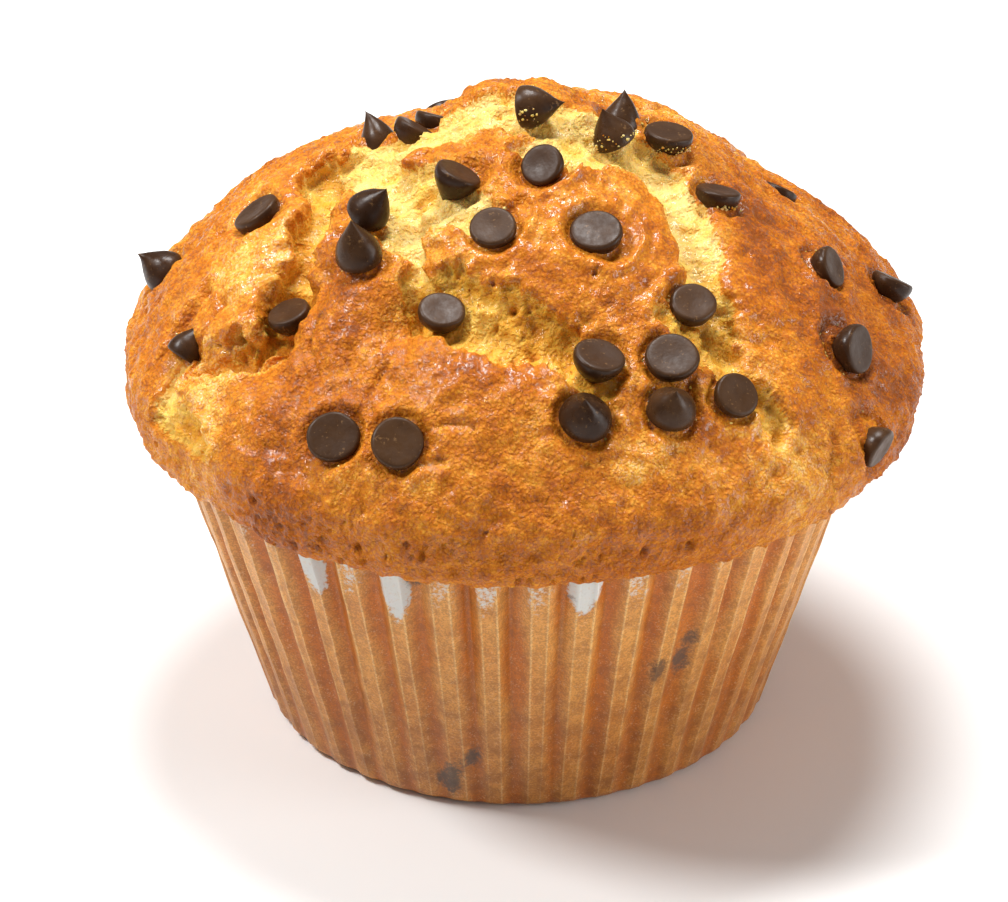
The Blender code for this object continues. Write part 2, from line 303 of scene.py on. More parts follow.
crown = dict(
    radius=43.9, waist=44.2, top=73.0, shift=0.5, heart=30.0, roundness=1.37, steepness=1.62,
    waves=((1, 95, 0.012), (2, 160, 0.010), (3, 180, 0.008), (5, -115, 0.006)),
    lipRadius=41.2, lipHeight=37.3, neckHeight=38.4, grid=290,
    swells=(  # x, y, half length, half width, turn, height
        (1, 6, 8.5, 9, 0, 0.8), (-3.5, 9, 3, 10, 0, 0.7), (8.5, 10, 3.5, 10, 0, -1.2),
        (-11.5, 16, 7, 13, 0, -2.8), (3, -15.5, 13, 8, -5, 1.1), (-25, 6, 9, 18, 20, 1.2),
        (24, 7, 8, 15, -20, -1.2), (20, 9, 6, 9, 0, 1.4),
        (13, 3, 6, 6, 0, 0.8), (-31, -7, 7, 9, 25, 0.9),
        (-18, -16, 4.5, 6.5, 10, 1.1), (-8, -34, 12, 4.5, 12, 0.9), (27, -18, 9, 10, -30, 0.7),
        (-14, 26, 10, 8, -30, 0.9), (16, 25, 10, 8, 30, 0.8)),
    tears=(  # half width, depth, route
        (2.4, 3.0, ((-21, 1, 0), (-22, -8, 0), (-24, -12, 0), (-27, -21, 0))),
        (1.8, 1.4, ((-27, -21, 0), (-33, -18, 0), (-37, -15, 0))),
        (2.6, 2.0, ((-17, 0, 0), (-13, -9, 0), (-11.5, -19, 0), (-12, -24, 0))),
        (2.4, 1.8, ((-12, -24, 0), (-5, -27, 0), (0, -29, 0), (6, -28, 0))),
        (2.6, 1.8, ((15, -3, 0), (18, -12, 0), (20, -18, 0), (22, -25, 0))),
        (2.8, 0.9, ((-8, -2, 0), (0, -4.5, 0), (8, -4.5, 0), (15, -3, 0))),
        (2.4, 1.2, ((-17, 12, 0), (-9, 18, 0), (-3, 26, 0), (1, 35, 0))),
        (2.4, 1.7, ((8, 12, 0), (19, 15, 0), (26, 21, 0), (31, 25, 0)))),
)

# Where the crust has split and the pale crumb shows: x, y, half width along each stroke.
crumbStrokes = (
    ((-17, 1, 3.0), (-11, 0, 3.6), (-4, 0, 3.4), (2, -1.0, 3.4), (8, -3.0, 4.2), (14, -3, 3.4),
     (18.5, -8, 2.8), (19.4, -14, 2.5), (20, -20, 2.0), (23, -26, 1.8)),
    ((-16.5, -2, 3.4), (-14.0, -7, 3.3), (-12, -11, 3.0), (-11.4, -15, 1.9), (-11.2, -19, 1.2),
     (-9.5, -22, 2.2), (-6, -25, 3.0), (-1, -26.8, 2.8), (4, -28, 2.5), (8.5, -31, 2.2)),
    ((-9.5, -9.5, 2.4), (-8.5, -12.5, 2.6), (-5.0, -14.5, 2.0)),
    ((2, -7.0, 2.0), (7, -7.0, 2.2)),
    ((16, -24, 1.6), (21, -27, 1.8)),
    ((-39, -17, 1.0), (-37.6, -22, 2.2), (-35, -26.5, 1.5)),
    ((25.5, -28.5, 1.4), (28.0, -30, 1.2)),
    ((-17, 12, 2.3), (-9, 18, 2.8), (-3, 26, 2.0), (1, 35, 0.8)),
    ((6, 11, 3.2), (19, 15, 2.5), (26, 21, 1.8), (31, 25, 0.7)),
)

# Deeper splits, whose sides are painted a dark golden orange as shade.
fissureStrokes = (
    ((-21.4, 3, 1.4), (-21.8, -5, 1.9), (-22.6, -10, 1.8), (-25.2, -14.5, 1.1), (-27.4, -19.6, 0.8)),
    ((-27, -20.3, 0.9), (-31, -18.6, 1.2), (-35, -16.6, 0.8)),
)

# Hairline cracks in the crust: depth, half width and route.
hairCracks = (
    (0.55, 0.22, ((-10.6, -36.2, 0), (-7.6, -35.6, 0), (-4.6, -36.1, 0))),
    (0.9, 0.35, ((-10.0, -38.3, 0), (-7.6, -38.1, 0))),
    (0.7, 0.25, ((33.6, -27.4, 0), (33.9, -29.6, 0), (33.2, -30.6, 0))),
    (0.6, 0.22, ((-35.2, -15.4, 0), (-33.0, -18.0, 0), (-31.2, -19.3, 0))),
    (0.5, 0.25, ((30.5, -1.0, 0), (34.5, -7.5, 0), (36.0, -13.0, 0))),
    (0.6, 0.25, ((-14.0, -28.5, 0), (-16.0, -31.0, 0), (-15.5, -33.0, 0))),
    (0.5, 0.22, ((-21.0, -28.0, 0), (-22.5, -24.0, 0), (-21.5, -21.0, 0))),
    (0.6, 0.25, ((20.0, 33.0, 0), (24.0, 30.0, 0), (26.0, 31.5, 0))),
)

# Broken bubbles beside chips, with a thin raised rim on one side: x, y, radius, the rim's bearing and spread.
craters = (
    (-1.6, -16.0, 3.4, 75, 75), (8.6, -16.9, 4.6, 70, 85), (3.4, -9.4, 3.3, 60, 80),
    (-25.5, -1.5, 4.2, 120, 60),
)

# Scorched and pale places in the crust, and at the front left a darker place that is painted shade: x, y,
# half length, half width, turn, how much darker.
toastAndShadePatches = (
    (4, -22.5, 9, 2.8, -5, 0.34), (15, -13.5, 2.8, 5.5, 0, 0.22), (1, -9.5, 6, 2.5, 10, -0.14),
    (-31, -9, 7, 6, 25, -0.22), (-34, -17, 6, 4, 20, -0.14), (-27, -4, 3, 7, 10, -0.18),
    (-18.5, -17.5, 3.2, 3, 0, 0.1),
    (-3, -31.5, 7, 2.4, 8, 0.26), (8, -40, 16, 3, 0, 0.12), (25, -4.5, 2.6, 4.5, 20, 0.34),
    (34.5, -12.5, 3.2, 2.6, 30, 0.36), (38, -17.5, 3, 4, 0, 0.32), (19.5, -33.0, 3.0, 1.8, 0, 0.34),
    (24.5, -33.2, 4.5, 1.6, 12, 0.32), (29.5, -28.5, 1.8, 2.0, 0, 0.30), (-8, -31, 4, 2, 0, 0.1),
    # The patch at (-24, -30) is painted shade on the front left.
    (-24, -30, 8, 6, 40, 0.46), (30, -18, 6, 6, 0, 0.22), (28, -2, 7, 7, 0, 0.24),
    (41, -8, 6, 13, 0, 0.42), (26, -14, 5, 6, 0, 0.14), (13.5, -37, 6, 1.8, 10, -0.26),
    (28, -31, 7, 5, 0, -0.3), (-34, -24, 5, 6, 0, -0.3), (-9, -16, 5, 5, 0, -0.1),
    (-30, 20, 9, 6, 30, 0.2), (14, 30, 9, 6, 0, 0.22), (-8, 38, 10, 3, 0, 0.18), (36, 14, 5, 7, 0, 0.2),
)


# Where the crust is glazed and smooth rather than grainy: x, y, half length, half width, amount.
glossPatches = (
    (4, -19, 11, 6, 0.6), (15, -13, 5, 9, 0.6), (27, -10, 6, 12, 0.5), (2, -10, 8, 3, 0.4),
    (-2, -31, 9, 3, 0.35), (-29, 2, 7, 8, 0.35), (-26, -7, 4, 8, 0.5), (20, -33, 9, 5, 0.35),
    (-18, -16, 4, 6, 0.3), (-31, -9, 7, 8, 0.6), (0, 25, 24, 12, 0.4),
)


# The crown's height above its smooth dome, as in the solid: swellings less tears.
def coarseRelief(x, y):
    height = np.zeros_like(x)
    for middleX, middleY, length, width, turn, rise in crown["swells"]:
        height += rise * hump(x, y, middleX, middleY, length, width, turn)
    for width, depth, route in crown["tears"]:
        height -= depth * np.exp(-((strokeDistance(route, x, y) / width) ** 2))
    return height


# The dome: radius R cos(rise)^p with a few waves round it, height waist + H sin(rise)^q.
def domePoint(bearing, rise):
    waves = sum(size * np.cos(n * bearing - math.radians(at)) for n, at, size in crown["waves"])
    radius = crown["radius"] * np.cos(rise) ** crown["roundness"] * (1 + waves)
    height = crown["waist"] + (crown["top"] - crown["waist"]) * np.sin(rise) ** crown["steepness"]
    points = np.stack([radius * np.sin(bearing) + crown["shift"], -radius * np.cos(bearing), height], -1)
    outward = points - (0, 0, crown["heart"])
    outward /= np.linalg.norm(outward, axis=-1, keepdims=True)
    return points + outward * coarseRelief(points[..., 0], points[..., 1])[..., None]


# From the top (0) down the dome to the waist (1), then round the lip to its lowest edge (2).
def crownPoint(bearing, along):
    dome = domePoint(bearing, np.clip(1 - along, 0, 1) * math.pi / 2)
    roll = np.clip(2 - along, 0, 1)[..., None] * math.pi / 2
    edge = crown["lipRadius"] * np.stack([np.sin(bearing), -np.cos(bearing), 0 * bearing], -1)
    edge[..., 2] = crown["lipHeight"]
    share = np.concatenate([np.sin(roll) ** 0.8, np.sin(roll) ** 0.8, 1 - np.cos(roll)], -1)
    return np.where((along > 1)[..., None], edge + (dome - edge) * share, dome)


# A square grid laid on a disc without squashing it.
# The disc is then drawn down over the crown in equal areas.
# Inside each quarter the turn is 45 degrees times the smaller coordinate over the larger one.
def crownGrid():
    line = np.linspace(-1, 1, crown["grid"])
    across, up = np.meshgrid(line, line, indexing="xy")
    reach = np.maximum(np.abs(across), np.abs(up))
    wide = np.abs(across) >= np.abs(up)
    safe = np.where(reach == 0, 1, reach)
    eighth = math.pi / 4
    sideways = np.where(across >= 0, 0, math.pi) + eighth * up / np.where(across == 0, 1, across)
    upright = np.where(up >= 0, 1, -1) * math.pi / 2 - eighth * across / np.where(up == 0, 1, up)
    bearing = np.where(wide, sideways, upright) + math.pi / 2
    steps = np.linspace(0, 2, 801)
    profile = crownPoint(np.zeros(801), steps)
    radius = np.hypot(profile[:, 0], profile[:, 1])
    lengths = np.linalg.norm(np.diff(profile, axis=0), axis=1)
    area = np.concatenate([[0], np.cumsum(lengths * (radius[1:] + radius[:-1]))])
    along = np.interp((reach / safe * reach) ** 2, area / area[-1], steps)
    return bearing, along


# Unit normals of a grid of points, from the steps between neighbours.
def gridNormals(points):
    alongRows, alongColumns = np.gradient(points, axis=0), np.gradient(points, axis=1)
    normals = np.cross(alongColumns, alongRows)
    return normals / np.maximum(np.linalg.norm(normals, axis=-1, keepdims=True), 1e-9)


print("cake: shaping the crown")
bearing, along = crownGrid()
basePoints = crownPoint(bearing, along)
normals = gridNormals(basePoints)
flip = np.sign((normals * (basePoints - (0, 0, 45))).sum(-1).mean())
normals *= flip
x, y, z = np.moveaxis(basePoints, -1, 0)
domeShare = smoothStep(1.25, 0.9, along)  # 1 on the dome, 0 on the underside of the lip
lipShare = smoothStep(0.86, 1.25, along)

wander = np.stack([layeredNoise(basePoints, 3.2, 3, seed) for seed in (11, 23)], -1) * 1.0
warpX, warpY = x + wander[..., 0], y + wander[..., 1]
split = np.min([strokeDistance(route, warpX, warpY) for route in crumbStrokes], axis=0)
fissure = np.min([strokeDistance(route, warpX, warpY) for route in fissureStrokes], axis=0)
ragged = 0.5 * noiseAt(basePoints, 1.1, 31) + 0.8 * noiseAt(basePoints, 4.5, 37)
fissureShare = smoothStep(0.6, -0.6, fissure + ragged)
split = np.where(along > 1.1, 9.0, np.minimum(split, fissure) + ragged)
crumbShare = smoothStep(0.35, -0.35, split)

# Chips: distance from each chip's side, and how far up its axis a point is.
chipSide = np.full_like(x, 99.0)
for chip in chipPlaces:
    away = basePoints - chip["face"]
    up = away @ chip["axis"]
    side = np.linalg.norm(away - up[..., None] * chip["axis"], axis=-1)
    near = np.where((up > -3.5) & (up < chip["height"] + 3.5), side - chip["width"] / 2, 99.0)
    chipSide = np.minimum(chipSide, near)

relief = -1.3 * smoothStep(0.5, -0.7, split) - 0.9 * fissureShare
relief += 0.5 * np.exp(-(((split - 0.75) / 0.5) ** 2)) * (0.6 + 0.7 * noiseAt(basePoints, 5, 41))
crustLumps = 0.55 * layeredNoise(basePoints, 8.5, 2, 51) + 0.30 * lumps(basePoints, 2.8, 53)
crumbLumps = 0.55 * lumps(basePoints, 4.2, 57) + 0.30 * layeredNoise(basePoints, 2.0, 2, 59)
grainRelief = 0.16 * lumps(basePoints, 1.5, 60) + 0.17 * layeredNoise(basePoints, 0.95, 2, 61)
relief += ((1 - crumbShare) * crustLumps + crumbShare * crumbLumps + grainRelief) * (1 - 0.65 * fissureShare)
for depth, width, route in hairCracks:
    crackGap = strokeDistance(route, x + 0.35 * wander[..., 0], y + 0.35 * wander[..., 1])
    relief -= depth * np.exp(-((crackGap / width) ** 2)) * (along < 1.05)
for middleX, middleY, radius, rimBearing, spread in craters:
    reach = np.hypot(warpX * 0.3 + x * 0.7 - middleX, warpY * 0.3 + y * 0.7 - middleY)
    turn = np.degrees(np.arctan2(x - middleX, -(y - middleY))) - rimBearing
    turn = np.abs((turn + 180) % 360 - 180)
    rim = smoothStep(spread, spread * 0.6, turn)
    raised = np.exp(-(((reach - radius) / 0.3) ** 2))
    relief += rim * (0.5 * raised - 0.5 * smoothStep(radius, radius - 1.2, reach))
relief -= 0.55 * np.exp(-((chipSide / 0.45) ** 2))
relief += 0.28 * np.exp(-(((chipSide - 1.2) / 0.6) ** 2))

# Pores: sharp little pits, thick on the lip and in the crumb, few on the crust.
poreDepth = np.zeros_like(x)
for size, keep, depth, seed in ((2.3, 0.5, 0.75, 71), (1.3, 0.42, 0.4, 73)):
    dots = dotDistance(basePoints + 0.25 * wander[..., :1], size, seed)
    busy = 0.30 + 0.45 * lipShare + 0.25 * crumbShare + 0.5 * noiseAt(basePoints, 7, seed + 1)
    poreDepth += depth * smoothStep(keep * 0.52, keep * 0.18, dots) * smoothStep(0.35, 0.7, busy)
relief -= poreDepth
relief -= 2.3 * hump(x, y, -21.4, -17.6, 2.6, 3.0)  # lets the chip beside the left split show
relief *= smoothStep(2.0, 1.9, along)

crownPoints = basePoints + normals * relief[..., None]
# The crust never pokes through a chip's flat face.
for chip in chipPlaces:
    outward = -chip["axis"] if (chip["face"] - (0, 0, 40)) @ chip["axis"] < 0 else None
    if outward is None:
        continue
    away = crownPoints - chip["face"]
    up = away @ outward
    side = np.linalg.norm(away - up[..., None] * outward, axis=-1)
    half = chip["width"] / 2
    over = np.clip(up + 0.7, 0, 3) * smoothStep(half + 0.8, half - 0.1, side) * (up < 4)
    crownPoints = crownPoints - outward * over[..., None]

calm = 1 - 0.6 * lipShare
# How brown the crust is, with painted shade added at the front left and round each chip's foot.
toastAndShade = 0.53 + 0.16 * calm * layeredNoise(basePoints, 11, 2, 81)
toastAndShade += 0.15 * calm * layeredNoise(basePoints, 3.0, 3, 83)
for middleX, middleY, length, width, turn, amount in toastAndShadePatches:
    toastAndShade += 0.75 * amount * hump(warpX, warpY, middleX, middleY, length, width, turn)
toastAndShade += 0.09 * lipShare + 0.10 * smoothStep(0.3, 0.0, split - 0.6)
toastAndShade -= 0.16 * smoothStep(2.2, 0.3, split) * domeShare
# A darker ring round each chip's foot: painted shade where the chip meets the crust.
toastAndShade += 0.10 * np.exp(-((chipSide / 1.0) ** 2))
# Painted shade: darker golden orange in the splits, the pores and the hollows between lumps, and along the
# front of the crown, which lies in shade; noise varies it a little.
paintedShade = 0.16 + 0.42 * fissureShare + 0.5 * poreDepth + 0.3 * smoothStep(0.1, -0.8, crumbLumps)
paintedShade += 0.5 * smoothStep(-14, -24, y) + 0.2 * layeredNoise(basePoints, 6, 2, 87)
gloss = 0.25 + 0.35 * noiseAt(basePoints, 6, 91) - 0.25 * lipShare
for middleX, middleY, length, width, amount in glossPatches:
    gloss += amount * hump(warpX, warpY, middleX, middleY, length, width)
gloss = np.clip(gloss, 0, 1) * (1 - 0.5 * crumbShare)


# The part inside the case: from the lip's edge up under it, in to the neck, down the side and to the floor.
def footRows(edge):
    bearing = np.arctan2(edge[:, 0], -edge[:, 1])
    away = np.stack([np.sin(bearing), -np.cos(bearing), 0 * bearing], -1)
    neck = caseRim - caseFlute["depthRim"] * 0.8 - 0.9
    neckHeight = crown["neckHeight"]
    profile = (
        (caseRim + 0.85, 38.0), (caseRim + 0.75, neckHeight + 0.1), (neck, neckHeight), (neck - 0.2, 37.0),
        (neck - 4.8, 20.0), (27.3, 2.0), (26.0, 0.8),
    )
    return [away * radius + (0, 0, height) for radius, height in profile]


caseFlute = dict(
    count=45, first=3.5, depthRim=1.65, depthBase=0.25, rows=62, wall=0.12, baseRadius=28.5,
    ridge=0.17, valley=0.5, wobble=0.5, seed=7, crease=0.09, cornerWidth=0.028,
    # one flute's columns stand closer together at its two creases
    phases=(-0.5, -0.43, -0.36, -0.29, -0.23, -0.19, -0.17, -0.145, -0.1,
            0.0, 0.1, 0.145, 0.17, 0.19, 0.23, 0.29, 0.36, 0.43),
)


def buildCake(material):
    size = crown["grid"]
    index = np.arange(size * size).reshape(size, size)
    quads = np.stack([index[:-1, :-1], index[:-1, 1:], index[1:, 1:], index[1:, :-1]], -1).reshape(-1, 4)
    border = np.concatenate([index[0, :-1], index[:-1, -1], index[-1, :0:-1], index[:0:-1, 0]])
    points = crownPoints.reshape(-1, 3)
    rows = footRows(points[border])
    count = len(border)
    ring = np.arange(count)
    after = (ring + 1) % count
    faces = []
    last = border
    for number in range(len(rows)):
        here = size * size + number * count + ring
        faces.append(np.stack([last[after], last, here, here[after]], -1))
        last = here
    middle = np.array([[0.0, 0.0, rows[-1][0, 2]]])
    centre = np.full(count, size * size + len(rows) * count)
    fan = np.stack([last[after], last, centre], -1)
    allPoints = np.concatenate([points] + rows + [middle])
    half = size // 2
    corner = points[index[half, half]]
    firstSide, secondSide = points[index[half, half + 1]] - corner, points[index[half + 1, half]] - corner
    facing = (normals[half, half] * np.cross(firstSide, secondSide)).sum()
    quadGroups = [quads] + faces
    if facing < 0:
        quadGroups = [group[:, ::-1] for group in quadGroups]
        fan = fan[:, ::-1]
    piece = addPiece("muffin_cake", allPoints, [np.concatenate(quadGroups), fan], material, ["cake"])
    hidden = np.zeros(len(allPoints) - size * size)
    paintPoints(piece, "bake", *(np.concatenate([layer.ravel(), hidden + fill]) for layer, fill in
                                 ((toastAndShade, 0.6), (crumbShare, 0.3), (paintedShade, 0.4), (gloss, 0.0))))
    return piece


crustLook = dict(
    crust=((0.0, paint(242, 198, 104)), (0.25, paint(228, 160, 56)), (0.5, paint(204, 123, 24)),
           (0.72, paint(182, 99, 9)), (0.88, paint(162, 83, 10)), (1.0, paint(136, 68, 14))),
    crumb=((0.0, paint(240, 206, 126)), (0.4, paint(234, 187, 84)),
           (0.75, paint(222, 156, 44)), (1.0, paint(196, 120, 26))),
    grain=0.36, fineGrain=0.17, granule=0.5, scorch=0.36, glint=0.36, frost=0.27, sway=0.9,
)


def makeCrust():
    material, book, shader, where = startMaterial("bakedCrust")
    bake = book.add("ShaderNodeAttribute", attribute_name="bake")
    split = book.add("ShaderNodeSeparateColor", {0: bake.outputs["Color"]}).outputs
    toastAndShadeValue, crumbValue, paintedShadeValue, glossValue = split[0], split[1], split[2], bake.outputs["Alpha"]
    mottle = book.noise(where, 1.6, 4.0, 0.6)
    grain = book.noise(where, crustLook["grain"], 3.0, 0.6)
    reach = crustLook["sway"] * mm
    sway = book.add("ShaderNodeTexNoise", {"Vector": where, "Scale": 1 / reach, "Detail": 2.0}).outputs[1]
    sway = book.vector("SUBTRACT", sway, (0.5, 0.5, 0.5))
    swayed = book.vector("ADD", where, book.vector("MULTIPLY", sway, (reach, reach, reach)))
    cells = {"Vector": swayed, "Scale": 1 / (crustLook["granule"] * mm)}
    granule = book.add("ShaderNodeTexVoronoi", cells).outputs[0]
    tops = book.between(granule, 0.1, 0.75, 1.0, 0.0)
    shifted = book.math("ADD", toastAndShadeValue, book.between(mottle, 0.25, 0.75, -0.13, 0.13))
    shifted = book.math("ADD", shifted, book.between(grain, 0.3, 0.7, -0.12, 0.12))
    # Painted shade between the granules and painted light on their tops.
    shifted = book.math("ADD", shifted, book.between(tops, 0.0, 1.0, 0.09, -0.06))
    crustColour = book.ramp(shifted, crustLook["crust"])
    # The crumb's colour runs from pale to dark golden orange with the painted shade.
    shadeAmount = book.math("ADD", paintedShadeValue, book.between(mottle, 0.25, 0.75, -0.2, 0.2))
    crumbColour = book.ramp(shadeAmount, crustLook["crumb"])
    ragged = book.math("ADD", crumbValue, book.between(grain, 0.3, 0.7, -0.25, 0.25))
    ragged = book.between(ragged, 0.3, 0.7)
    colour = book.blend(ragged, crustColour, crumbColour)
    scorched = speckle(book, where, crustLook["scorch"], 0.30)
    scorched = book.math("MULTIPLY", scorched, book.between(toastAndShadeValue, 0.3, 0.8, 0.1, 0.38))
    scorched = book.math("MULTIPLY", scorched, book.between(crumbValue, 0.2, 0.8, 1.0, 0.25))
    colour = book.blend(scorched, colour, paint(146, 78, 28))
    frost = speckle(book, where, crustLook["frost"], 0.42)
    frost = book.math("MULTIPLY", frost, book.between(toastAndShadeValue, 0.26, 0.5, 0.45, 0.02))
    frost = book.math("MULTIPLY", frost, book.between(crumbValue, 0.2, 0.8, 1.0, 0.3))
    colour = book.blend(frost, colour, paint(248, 214, 164))
    book.feed(shader.inputs["Base Color"], colour)
    glint = speckle(book, where, crustLook["glint"], 0.58)
    glint = book.math("MULTIPLY", glint, book.between(glossValue, 0.0, 0.6, 0.4, 1.0))
    book.feed(shader.inputs["Roughness"], book.between(glint, 0.0, 1.0, 0.6, 0.4))
    book.feed(shader.inputs["Coat Weight"], glint)
    shader.inputs["Coat Roughness"].default_value = 0.12
    shader.inputs["Specular IOR Level"].default_value = 0.15
    grainy = book.math("MULTIPLY", tops, book.between(glossValue, 0.1, 0.9, 1.0, 0.4))
    pebbles = book.bump(grainy, 0.7, 0.24)
    smoothed = book.math("MULTIPLY", grain, book.between(glossValue, 0.1, 0.9, 1.0, 0.5))
    first = book.bump(smoothed, 0.8, 0.2, pebbles)
    fine = book.noise(where, crustLook["fineGrain"], 2.0, 0.5)
    book.feed(shader.inputs["Normal"], book.bump(fine, 0.7, 0.08, first))
    book.feed(shader.inputs["Coat Normal"], book.bump(smoothed, 0.8, 0.15))
    shader.inputs["Subsurface Weight"].default_value = 0.28
    shader.inputs["Subsurface Radius"].default_value = (1.0, 0.5, 0.15)
    shader.inputs["Subsurface Scale"].default_value = 1.8 * mm
    return material


buildCake(makeCrust())


# Dry white patches at the top of the ridges: bearing, lowest height, half width in degrees, strength.
dryPatches = (
    (-35, 28.0, 3.6, 1.0), (-27.5, 29.5, 1.6, 0.6), (-19.5, 27.5, 3.8, 1.0), (-12, 30.5, 2.4, 0.45),
    (-4.5, 29.5, 2.4, 0.6), (3.5, 31.0, 2.2, 0.5), (11.5, 29.5, 3.8, 1.0), (20, 31.0, 2.2, 0.55),
    (28.5, 32.5, 2.0, 0.55), (36.5, 33.0, 2.0, 0.5), (45, 33.5, 1.8, 0.6), (53, 33.5, 1.6, 0.55),
    (-44, 32.0, 2.0, 0.45), (76, 33.0, 2.0, 0.5), (100, 30.0, 2.4, 0.9), (132, 31.0, 2.4, 0.6),
    (163, 29.0, 2.6, 1.0), (-76, 33.0, 2.0, 0.4), (-108, 31.0, 2.4, 0.8), (-148, 30.0, 2.4, 0.9),
)

# Dark places where a chip shows through: bearing, height, half width in degrees, half height,
# turn, strength, greyness.
stains = (
    (-14.5, 4.2, 3.0, 2.2, 35, 1.0, 1.0), (-9.2, 8.0, 2.4, 2.0, 40, 0.8, 1.0),
    (-1.5, 7.5, 1.2, 1.0, 0, 0.55, 0.4), (26.8, 20.0, 1.9, 1.9, 20, 0.85, 0.4),
    (32.0, 19.6, 1.8, 2.0, 10, 0.95, 0.9), (33.0, 22.6, 1.7, 2.2, 0, 0.8, 0.6),
    (24.0, 19.0, 3.2, 3.0, 0, 0.4, 0.2), (30.0, 22.0, 3.4, 3.0, 0, 0.35, 0.3),
    (-11.8, 6.2, 2.6, 2.6, 40, 0.5, 0.8), (-32, 36.0, 1.6, 2.2, 0, 0.9, 1.0),
    (-17.0, 35.2, 1.4, 1.8, 0, 0.85, 0.8), (-24, 36.5, 2.0, 1.2, 0, 0.6, 0.5),
    (8.5, 33.5, 1.2, 1.0, 0, 0.6, 0.2), (84, 12.0, 2.6, 2.4, 20, 0.8, 0.9),
    (148, 22.0, 2.6, 2.4, 0, 0.8, 0.6),
    (-122, 9.0, 3.0, 2.2, -30, 0.9, 0.9), (-168, 26.0, 2.2, 2.4, 10, 0.7, 0.5),
)

print("case: folding the paper")
fluteRandom = np.random.default_rng(caseFlute["seed"])
fluteWidth = 1 + 0.22 * fluteRandom.uniform(-1, 1, caseFlute["count"])
fluteShift = 0.05 * fluteRandom.uniform(-1, 1, caseFlute["count"])
fluteDeep = 1 + 0.22 * fluteRandom.uniform(-1, 1, caseFlute["count"])


# One flute's cross-section: 0 on its flat ridge, a crisp corner, then a smooth fall to 1 in the valley.
def fluteFall(phase, width):
    past = np.abs(phase) / width - caseFlute["ridge"]
    share = np.clip(past / (caseFlute["valley"] - caseFlute["ridge"]), 0, 1)
    corner = np.exp(-((past / caseFlute["cornerWidth"]) ** 2))
    return np.sin(share * math.pi / 2) ** 1.3 - caseFlute["crease"] * corner


# Rows go from the middle of the floor out, up the outside, over the rim, down the inside and back.
# Each row has a radius, a height and how fully the flutes show.
def caseRows():
    outer = [(0.0, 0.0, 0.0), (12.0, 0.0, 0.0), (20.0, 0.0, 0.02), (24.5, 0.0, 0.1)]
    outer += [(26.6, 0.0, 0.35), (27.7, 0.12, 0.6), (28.3, 0.5, 0.8)]
    heights = np.linspace(1.0, caseHeight, caseFlute["rows"])
    base = caseFlute["baseRadius"]
    slope = (caseRim - base) / caseHeight
    outer += [(base + slope * height, height, 1.0) for height in heights]
    wall = caseFlute["wall"]
    inner = [(base + slope * height - wall, height, 1.0) for height in np.linspace(caseHeight, 1.4, 10)]
    inner += [(28.2 - wall, 0.7, 0.8), (26.4, wall + 0.05, 0.3), (12.0, wall, 0.0), (0.0, wall, 0.0)]
    return np.array(outer), np.array(inner)


